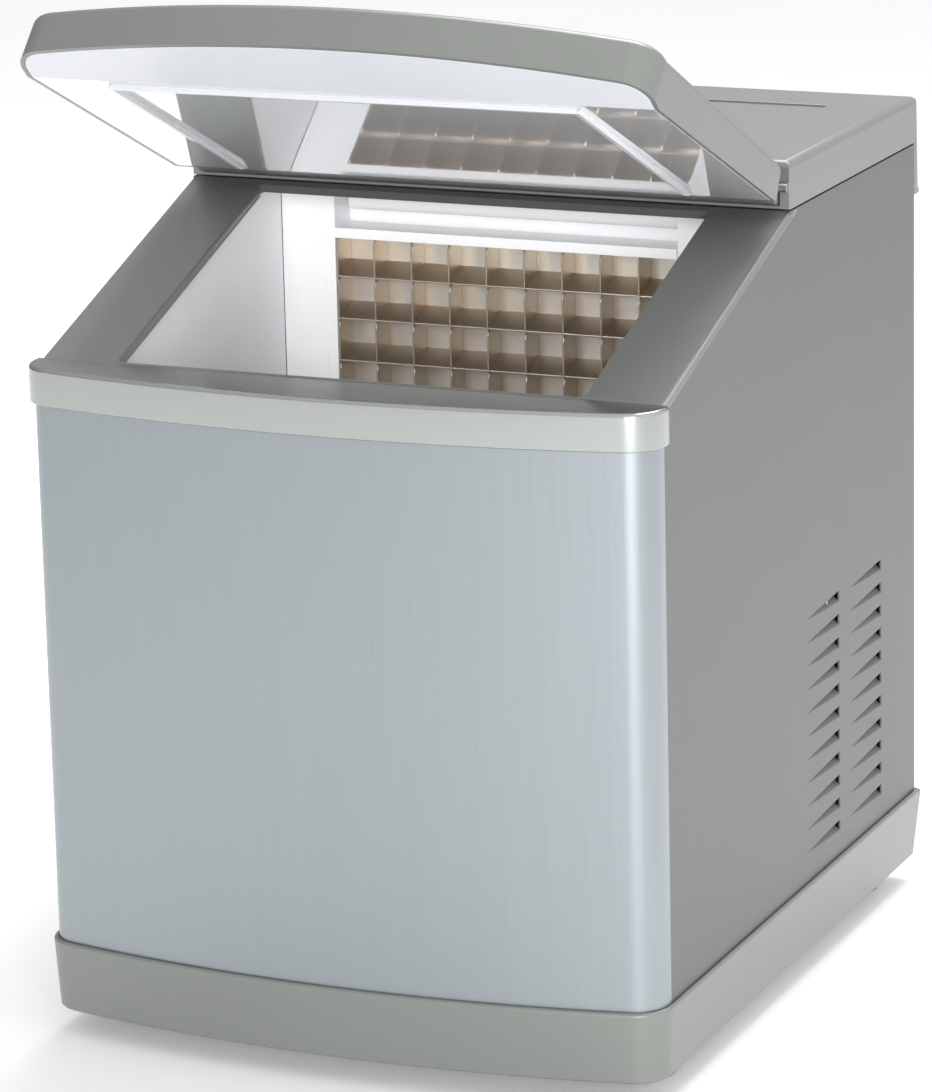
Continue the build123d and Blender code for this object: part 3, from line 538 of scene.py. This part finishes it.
def slope_point(s, n):
    """(y, z) of a point s up the sloping deck and n above it."""
    return (FOLD_Y + s * SLOPE_COS - n * SLOPE_SIN, LEDGE_Z + s * SLOPE_SIN + n * SLOPE_COS)


def fit(piece, slot, body, *nodes):
    """Gives a piece its finish and body, and hides the frame's nodes that it stands for."""
    piece.data.materials.clear()
    piece.data.materials.append(FINISH[slot])
    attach(piece, body)
    if nodes:
        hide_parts(*nodes)
    return piece


# ------------------------------------------------------------------ settings
class IceMakerLook(bpy.types.PropertyGroup):
    front_colour: FloatVectorProperty(
        name="Front sheet",
        description="Colour of the brushed front",
        default=tone(160, 167, 171),
        subtype="COLOR",
    )
    side_colour: FloatVectorProperty(
        name="Side sheets",
        description="Colour of the satin sides",
        default=tone(105, 108, 106),
        subtype="COLOR",
    )
    silver_colour: FloatVectorProperty(
        name="Silver plastic",
        description="Colour of lid, cover and plinth",
        default=tone(137, 140, 136),
        subtype="COLOR",
    )
    white_colour: FloatVectorProperty(
        name="White plastic",
        description="Colour of the ice bin",
        default=tone(242, 242, 244),
        subtype="COLOR",
    )
    lid_radius: FloatProperty(
        name="Lid edge",
        description="Radius of the lid's outer edges",
        default=0.0045,
        min=0.001,
        max=0.008,
        unit="LENGTH",
    )
    cover_radius: FloatProperty(
        name="Cover edge",
        description="Radius of the rear cover's top edges",
        default=0.0045,
        min=0.001,
        max=0.008,
        unit="LENGTH",
    )
    small_radius: FloatProperty(
        name="Small radii",
        description="Radius of small moulded edges",
        default=0.0006,
        min=0.0001,
        max=0.002,
        unit="LENGTH",
    )


class PieceOperator:
    """Shared by the operators that build one piece or a group of like pieces."""

    bl_options = {"REGISTER", "UNDO"}

    def execute(self, context):
        self.build(context.scene.ice_maker_look)
        return {"FINISHED"}


# ------------------------------------------------------------------ pieces
class ICEMAKER_OT_finishes(PieceOperator, bpy.types.Operator):
    """Makes every finish"""

    bl_idname = "ice_maker.finishes"
    bl_label = "Finishes"

    def build(self, look):
        FINISH.update(finishes(look))


class ICEMAKER_OT_front_panel(PieceOperator, bpy.types.Operator):
    """Brushed sheet round the bowed front"""

    bl_idname = "ice_maker.front_panel"
    bl_label = "Front panel"

    def build(self, look):
        outside = outline(0.0, FOLD_Y, steps=16, spans=96)
        inside = outline(-SHEET, FOLD_Y, steps=16, spans=96)
        loop = [(outside, PANEL_BOTTOM), (outside, PANEL_TOP), (inside, PANEL_TOP), (inside, PANEL_BOTTOM)]
        rings = [[(x, y, z) for x, y in plan] for plan, z in loop + loop[:1]]
        panel = between_rings("front_panel_sheet", rings, caps=False, around=False)
        smooth(panel)
        fit(panel, "brushed_front_sheet", "cabinet", "front_panel")


class ICEMAKER_OT_front_band(PieceOperator, bpy.types.Operator):
    """Bright trim with a rounded top edge and the ledge behind it"""

    bl_idname = "ice_maker.front_band"
    bl_label = "Front band"

    def build(self, look):
        top_radius, chamfer = 0.0022, 0.0006
        levels = [(0.0, LEDGE_Z - DECK), (0.0, BAND_BOTTOM), (SKIRT_PROUD - chamfer, BAND_BOTTOM)]
        levels += [(SKIRT_PROUD, BAND_BOTTOM + chamfer), (SKIRT_PROUD, LEDGE_Z - top_radius)]
        for i in range(1, 7):
            a = pi / 2 * i / 6
            grow = SKIRT_PROUD - top_radius + top_radius * cos(a)
            levels.append((grow, LEDGE_Z - top_radius + top_radius * sin(a)))
        rings = [[(x, y, z) for x, y in outline(grow, FOLD_Y, steps=16, spans=96)] for grow, z in levels]
        band = between_rings("front_band_trim", rings)
        smooth(band)
        fit(band, "bright_trim", "cabinet", "front_band")


class ICEMAKER_OT_plinth(PieceOperator, bpy.types.Operator):
    """Moulded plinth round the foot of the cabinet"""

    bl_idname = "ice_maker.plinth"
    bl_label = "Plinth"

    def build(self, look):
        foot, radius, bend_radius = 0.0006, 0.002, 0.004
        levels = [(-0.008, SKIRT_BOTTOM + 0.003), (-0.008, SKIRT_BOTTOM), (-0.0004, SKIRT_BOTTOM)]
        levels += [(foot, SKIRT_BOTTOM + 0.001), (SKIRT_PROUD - 0.0001, SKIRT_TOP - 0.0024)]
        for i in range(1, 6):
            a = pi / 2 * i / 5
            levels.append((SKIRT_PROUD - radius + radius * cos(a), SKIRT_TOP - radius + radius * sin(a)))
        levels += [(0.0, SKIRT_TOP - 0.0002), (0.0, PANEL_BOTTOM)]
        rings = []
        for grow, z in levels:
            rear = SKIRT_REAR - 0.007 + 0.007 * (grow - foot) / (SKIRT_PROUD - foot)
            rear = min(SKIRT_REAR, rear) if grow > 0 else REAR_Y + grow
            plan = outline(grow, rear - bend_radius, steps=16, spans=96)
            x, y = plan[-1]
            bend = []
            for i in range(1, 5):
                a = pi / 8 * i
                bend.append((x - bend_radius + bend_radius * cos(a), y + bend_radius * sin(a)))
            plan += bend + [(-x, y) for x, y in reversed(bend)]
            rings.append([(x, y, z) for x, y in plan])
        skirt = between_rings("plinth_moulding", rings, caps=False)
        smooth(skirt)
        fit(skirt, "silver_plastic", "cabinet", "base_skirt")


def rounded_opening(name, grow, low, high):
    """Prism square to the slope with the bin opening's rounded outline."""
    half = OPENING_HALF + grow
    front = OPENING_FRONT / SLOPE_COS - grow
    rear = RUN - OPENING_REAR + grow
    front_radius, rear_radius = 0.004 + grow, 0.002
    corners = (
        (half - front_radius, front + front_radius, front_radius, -pi / 2),
        (half - rear_radius, rear - rear_radius, rear_radius, 0.0),
    )
    plan = []
    for x, s, radius, start in corners:
        for i in range(9):
            a = start + pi / 2 * i / 8
            plan.append((x + radius * cos(a), s + radius * sin(a)))
    plan += [(-x, s) for x, s in reversed(plan)]
    return between_rings(name, [[(x, *slope_point(s, n)) for x, s in plan] for n in (low, high)])


class ICEMAKER_OT_deck(PieceOperator, bpy.types.Operator):
    """Sloping frame with rounded edges round the bin opening"""

    bl_idname = "ice_maker.deck"
    bl_label = "Deck"

    def build(self, look):
        low, tab = -0.0048, 0.009
        side = [slope_point(0.0, 0.0), (SLOPE_TOP_Y, SLOPE_TOP_Z), (SLOPE_TOP_Y + tab, SLOPE_TOP_Z)]
        side += [(SLOPE_TOP_Y + tab, SLOPE_TOP_Z - DECK), slope_point(RUN, low)]
        side += [slope_point(-low * 0.17, low)]
        deck = prism_x("deck_moulding", side, -HALF - 0.0002, HALF + 0.0002)

        def top_side(middle, along):
            surface = LEDGE_Z + (middle.y - FOLD_Y) * SLOPE_SIN / SLOPE_COS
            on_side = abs(middle.x) > HALF - 0.001 and abs(along.x) < 0.5
            return on_side and middle.y < SLOPE_TOP_Y and middle.z > surface - 0.001

        round_edges(deck, 0.004, top_side, 6)
        combine(deck, rounded_opening("cut", 0.0, -0.03, 0.03))
        lip = rounded_opening("lip", 0.002, -DECK - OPENING_LIP, -0.001)
        combine(lip, rounded_opening("cut", 0.0, -0.03, 0.03))
        combine(lip, block("rear", -CLEAR, CLEAR, SLOPE_TOP_Y - 0.006, 0.1, 0.3, 0.5))
        combine(deck, lip, "UNION")
        soften(deck, 0.0014, 4, 50.0)
        fit(deck, "silver_plastic", "cabinet", "deck_frame")


class ICEMAKER_OT_top_cover(PieceOperator, bpy.types.Operator):
    """Rear cover with rounded edges, a cove for the lid's barrel and a hooked rear flange"""

    bl_idname = "ice_maker.top_cover"
    bl_label = "Top cover"

    def build(self, look):
        seat, inner_rear = SLOPE_TOP_Z + 0.0008, REAR_Y + 0.0001
        side = [(SLOPE_TOP_Y, seat), (SLOPE_TOP_Y, COVER_TOP), (COVER_REAR, COVER_TOP)]
        side += [(COVER_REAR + 0.0023, HOOK_BOTTOM + 0.0045), (HOOK_REAR, HOOK_BOTTOM + 0.003)]
        side += [(HOOK_REAR, HOOK_BOTTOM), (inner_rear, HOOK_BOTTOM), (inner_rear, seat)]
        cover = prism_x("top_cover_moulding", side, -HALF, HALF)
        round_edges(cover, look.cover_radius, lambda middle, along: middle.z > COVER_TOP - 0.0001, 6)

        def rear_corner(middle, along):
            return middle.y > COVER_REAR - 0.001 and abs(middle.x) > HALF - 0.0001 and abs(along.z) > 0.5

        round_edges(cover, 0.0035, rear_corner, 5)
        combine(cover, rod_x("cove", -CHEEK_X, CHEEK_X, HINGE_Y, HINGE_Z, COVE_R))
        half, deep = 0.092, 0.035
        combine(cover, block("recess", -half, half, PANEL_Y - deep, PANEL_Y + deep, COVER_TOP - 0.0015, 0.5))
        combine(cover, block("groove", -0.137, 0.137, 0.163, 0.171, COVER_TOP - 0.0014, 0.5))
        soften(cover, look.small_radius, 3, 35.0)
        fit(cover, "silver_plastic", "cabinet", "top_cover")


def lid_side(skin, low):
    """Side view of the lid, inset by skin, with its underside at low."""
    front = FRONT_Y - BOW - LID_FRONT - 0.005
    top = LEDGE_Z + LID_GAP + LID_FRONT_THICK - skin
    return [
        (front, LEDGE_Z + low),
        (front, top),
        (FOLD_Y - LID_FRONT_THICK * SLOPE_HALF_TAN - 0.001, top),
        slope_point(LID_REAR_S - skin, LID_GAP + LID_REAR_THICK - skin),
        slope_point(LID_REAR_S - skin, low),
        lid_fold(low),
    ]


def lid_fold(n, shift=0.0):
    """(y, z) on the lid's fold line, n above the ledge."""
    return (FOLD_Y - n * SLOPE_HALF_TAN - shift, LEDGE_Z + n)


def lid_plan(name, grow):
    """Tall prism with the shut lid's outline from above."""
    plan = outline(LID_SIDE + grow, 0.020, forward=LID_FRONT, steps=14, spans=80)
    return prism_z(name, plan, 0.330, 0.470)


class ICEMAKER_OT_lid_shell(PieceOperator, bpy.types.Operator):
    """Silver outer moulding of the lid with its hinge barrel"""

    bl_idname = "ice_maker.lid_shell"
    bl_label = "Lid shell"

    def build(self, look):
        side = prism_x("side", lid_side(0.0, LID_GAP), -CLEAR, CLEAR)
        lid = combine(lid_plan("lid_moulding", 0.0), side, "INTERSECT")

        def outer(middle, along):
            above = middle.z - LEDGE_Z - max(0.0, (middle.y - FOLD_Y) * SLOPE_SIN / SLOPE_COS)
            return above > 0.012

        round_edges(lid, look.lid_radius, outer, 6)
        side = prism_x("side", lid_side(LID_WALL, -0.005), -CLEAR, CLEAR)
        combine(lid, combine(lid_plan("hollow", -LID_WALL), side, "INTERSECT"))
        reach = CHEEK_X - 0.0006
        start, end, under, over = 0.180, 0.1978, 0.0085, 0.0155
        web = [slope_point(s, n) for s, n in ((start, under), (end, under), (end, over), (start, over))]
        combine(lid, prism_x("web", web, -reach, reach), "UNION")
        combine(lid, rod_x("barrel", -reach, reach, HINGE_Y, HINGE_Z, BARREL_R, 72), "UNION")
        opened(lid)
        soften(lid, look.small_radius, 2, 40.0)
        fit(lid, "silver_plastic", "lid", "lid_shell")


class ICEMAKER_OT_lid_inside(PieceOperator, bpy.types.Operator):
    """Glossy liner, white lip strip (its pale tone partly painted light passing through and reflecting off
    the liner) and raised rib under the lid
    """

    bl_idname = "ice_maker.lid_inside"
    bl_label = "Lid inside"

    def build(self, look):
        rear = LID_REAR_S - LID_WALL
        shape = [lid_fold(LID_GAP), lid_fold(LINER_TOP)]
        shape += [slope_point(rear, LINER_TOP), slope_point(rear, LID_GAP)]
        side = prism_x("side", shape, -CLEAR, CLEAR)
        liner = combine(lid_plan("lid_liner_panel", -LID_WALL), side, "INTERSECT")
        fit(soften(opened(liner), 0.0005), "clear_liner", "lid", "lid_liner")

        front = FRONT_Y - BOW - LID_FRONT - 0.005
        shape = [(front, LEDGE_Z + LID_GAP), (front, LEDGE_Z + LINER_TOP)]
        shape += [lid_fold(LINER_TOP, 0.00005), lid_fold(LID_GAP, 0.00005)]
        side = prism_x("side", shape, -CLEAR, CLEAR)
        strip = combine(lid_plan("lid_lip_strip", -LID_WALL), side, "INTERSECT")
        fit(soften(opened(strip), 0.0006), "white_plastic", "lid", "lid_lip_trim")
        # The lip strip's pale colour is partly painted light: on top of the strip's own white plastic, it
        # stands in for light passing through and reflecting off the clear liner's front.
        strip.data.materials[0] = moulded("Lip white with painted light", tone(208, 210, 215), 0.3, 0.3)

        low = LID_GAP - RIB_DEEP
        near, back = 0.006, 0.0082
        arm = [slope_point(s, n) for s, n in ((near, LID_GAP), (near, low), (0.168, low), (0.176, LID_GAP))]
        nose = [slope_point(s, n) for s, n in ((near, LID_GAP), (near, low), (back, low), (back, LID_GAP))]
        rib = prism_x("lid_rib_moulding", arm, RIB_HALF - RIB_WIDE, RIB_HALF)
        combine(rib, prism_x("arm", arm, -RIB_HALF, -RIB_HALF + RIB_WIDE), "UNION")
        combine(rib, prism_x("nose", nose, -RIB_HALF, RIB_HALF), "UNION")
        fit(soften(opened(rib), 0.0008), "white_plastic", "lid", "lid_rib_frame")
        rib.data.materials[0] = moulded("Rib white", tone(228, 230, 234), 0.22, 0.4)


class ICEMAKER_OT_freezing_grid(PieceOperator, bpy.types.Operator):
    """Plated dividers and falling shelves of the ice cells"""

    bl_idname = "ice_maker.freezing_grid"
    bl_label = "Freezing grid"

    def build(self, look):
        half = COLUMNS * CELL / 2
        bottom = SHELF_FRONT_Z - (ROWS - 1) * CELL_DROP
        round_over, inset = 0.0034, 0.0012
        fins = []
        for column in range(COLUMNS + 1):
            x = -half + column * CELL
            for row in range(ROWS):
                top = SHELF_FRONT_Z - (row - 1) * CELL_DROP - 0.0002 if row else GRID_TOP
                low = max(bottom, top - CELL_DROP + (0.0 if row else 0.0013))
                side = [(PLATE_Y, low), (GRID_FRONT, low), (GRID_FRONT, top - round_over)]
                side += [(GRID_FRONT + inset, top - inset), (GRID_FRONT + round_over, top), (PLATE_Y, top)]
                fins.append(prism_x("fin", side, x - FIN / 2, x + FIN / 2))
        for row in range(ROWS):
            z = SHELF_FRONT_Z - row * CELL_DROP
            front = GRID_FRONT + 0.0004
            side = [(front, z), (PLATE_Y, z + SHELF_RISE), (PLATE_Y, z + SHELF_RISE + FIN), (front, z + FIN)]
            fins.append(prism_x("shelf", side, -half, half))
        grid = merge(fins[0], fins[1:])
        grid.name = "freezing_grid_plates"
        soften(grid, 0.0003, 2)
        fit(grid, "nickel_grid", "cabinet", "evaporator_grid")


class ICEMAKER_OT_carried_parts(PieceOperator, bpy.types.Operator):
    """Finishes and small edge radii for the frame's own parts"""

    bl_idname = "ice_maker.carried_parts"
    bl_label = "Carried-over parts"

    def build(self, look):
        slots = {}
        for part in frame["record"]["subparts"]:
            slots[part["node"]] = part["material_slot"]
        for name, node in frame["nodes"].items():
            node.data.materials.clear()
            node.data.materials.append(FINISH[slots[name]])
            weld = node.modifiers.new("Weld", "WELD")
            weld.merge_threshold = 0.00001
            soften(node, look.small_radius * 0.6, 2, 32.0)


class ICEMAKER_OT_stage(PieceOperator, bpy.types.Operator):
    """Pale floor, soft lights and the camera"""

    bl_idname = "ice_maker.stage"
    bl_label = "Stage"

    def build(self, look):
        floor = made("floor", [(-8, -8, 0), (8, -8, 0), (8, 8, 0), (-8, 8, 0)], [(0, 1, 2, 3)])
        pale = Shader("Floor", (0.95, 0.95, 0.95), 0.7)
        pale.set("Base Color", pale.mix((0.93, 0.93, 0.93), (0.97, 0.97, 0.97), pale.noise(3.0)))
        pale.set("Emission Color", (1.0, 1.0, 1.0))
        pale.surface.inputs["Emission Strength"].default_value = 0.12
        floor.data.materials.append(pale.material)

        world = bpy.data.worlds.new("Studio")
        bpy.context.scene.world = world
        bpy.context.scene.view_settings.view_transform = "Standard"
        world.use_nodes = True
        tree = world.node_tree
        sky = tree.nodes["Background"]
        direction = tree.nodes.new("ShaderNodeTexCoord")
        lean = tree.nodes.new("ShaderNodeVectorMath")
        lean.operation = "DOT_PRODUCT"
        lean.inputs[1].default_value = (0.85, -0.3, 0.43)
        level = tree.nodes.new("ShaderNodeMapRange")
        level.inputs["From Min"].default_value = -1.0
        level.inputs["To Min"].default_value = 0.22
        level.inputs["To Max"].default_value = 1.2
        tree.links.new(direction.outputs["Generated"], lean.inputs[0])
        tree.links.new(lean.outputs["Value"], level.inputs["Value"])
        tree.links.new(level.outputs["Result"], sky.inputs["Strength"])
        sky.inputs["Color"].default_value = (1.0, 1.0, 1.0, 1.0)

        lights = (
            ("Key", (1.1, -2.0, 0.5), (0.05, -0.1, 0.25), 0.8, 17.0),
            ("Top", (0.1, 0.8, 2.0), (0.0, 0.1, 0.3), 1.2, 32.0),
            ("Bin", (-0.05, -0.75, 0.62), (0.0, 0.03, 0.36), 0.30, 3.2),
        )
        for name, spot, aim, size, power in lights:
            data = bpy.data.lights.new(name, "AREA")
            data.energy = power
            data.size = size
            light = bpy.data.objects.new(name, data)
            light.location = spot
            light.rotation_euler = (Vector(aim) - Vector(spot)).to_track_quat("-Z", "Y").to_euler()
            bpy.context.scene.collection.objects.link(light)
        inside = bpy.data.collections.new("Inside of the bin")
        for name in ("bin_liner", "evaporator_frame", "evaporator_plate", "spray_tube"):
            inside.objects.link(frame["nodes"][name])
        inside.objects.link(bpy.data.objects["freezing_grid_plates"])
        bpy.data.objects["Bin"].light_linking.receiver_collection = inside

        turn, rise, roll = (radians(angle) for angle in CAMERA_ANGLES)
        back = Vector((sin(turn) * cos(rise), -cos(turn) * cos(rise), sin(rise)))
        right = Vector((cos(turn), sin(turn), 0.0))
        up = back.cross(right)
        across = cos(roll) * right + sin(roll) * up
        above = -sin(roll) * right + cos(roll) * up
        lens = bpy.data.cameras.new("Camera")
        lens.lens = CAMERA_LENS
        lens.sensor_width = 36.0
        camera = bpy.data.objects.new("Camera", lens)
        place = Matrix((across, above, back)).transposed().to_4x4()
        place.translation = Vector(CAMERA_AIM) + back * CAMERA_DISTANCE
        camera.matrix_world = place
        bpy.context.scene.collection.objects.link(camera)
        bpy.context.scene.camera = camera


OPERATORS = (
    ICEMAKER_OT_finishes,
    ICEMAKER_OT_carried_parts,
    ICEMAKER_OT_front_panel,
    ICEMAKER_OT_front_band,
    ICEMAKER_OT_plinth,
    ICEMAKER_OT_deck,
    ICEMAKER_OT_top_cover,
    ICEMAKER_OT_lid_shell,
    ICEMAKER_OT_lid_inside,
    ICEMAKER_OT_freezing_grid,
    ICEMAKER_OT_stage,
)


class ICEMAKER_PT_panel(bpy.types.Panel):
    """Sizes, colours and build buttons"""

    bl_idname = "ICEMAKER_PT_panel"
    bl_label = "Ice Maker"
    bl_space_type = "VIEW_3D"
    bl_region_type = "UI"
    bl_category = "Ice Maker"

    def draw(self, context):
        look = context.scene.ice_maker_look
        for name in look.__annotations__:
            self.layout.prop(look, name)
        for operator in OPERATORS:
            self.layout.operator(operator.bl_idname)


CLASSES = (IceMakerLook, *OPERATORS, ICEMAKER_PT_panel)


def register():
    for item in CLASSES:
        bpy.utils.register_class(item)
    bpy.types.Scene.ice_maker_look = PointerProperty(type=IceMakerLook)


def unregister():
    del bpy.types.Scene.ice_maker_look
    for item in reversed(CLASSES):
        bpy.utils.unregister_class(item)


def main():
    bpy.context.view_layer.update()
    register()
    for operator in OPERATORS:
        group, name = operator.bl_idname.split(".")
        getattr(getattr(bpy.ops, group), name)()


if __name__ == "__main__":
    main()
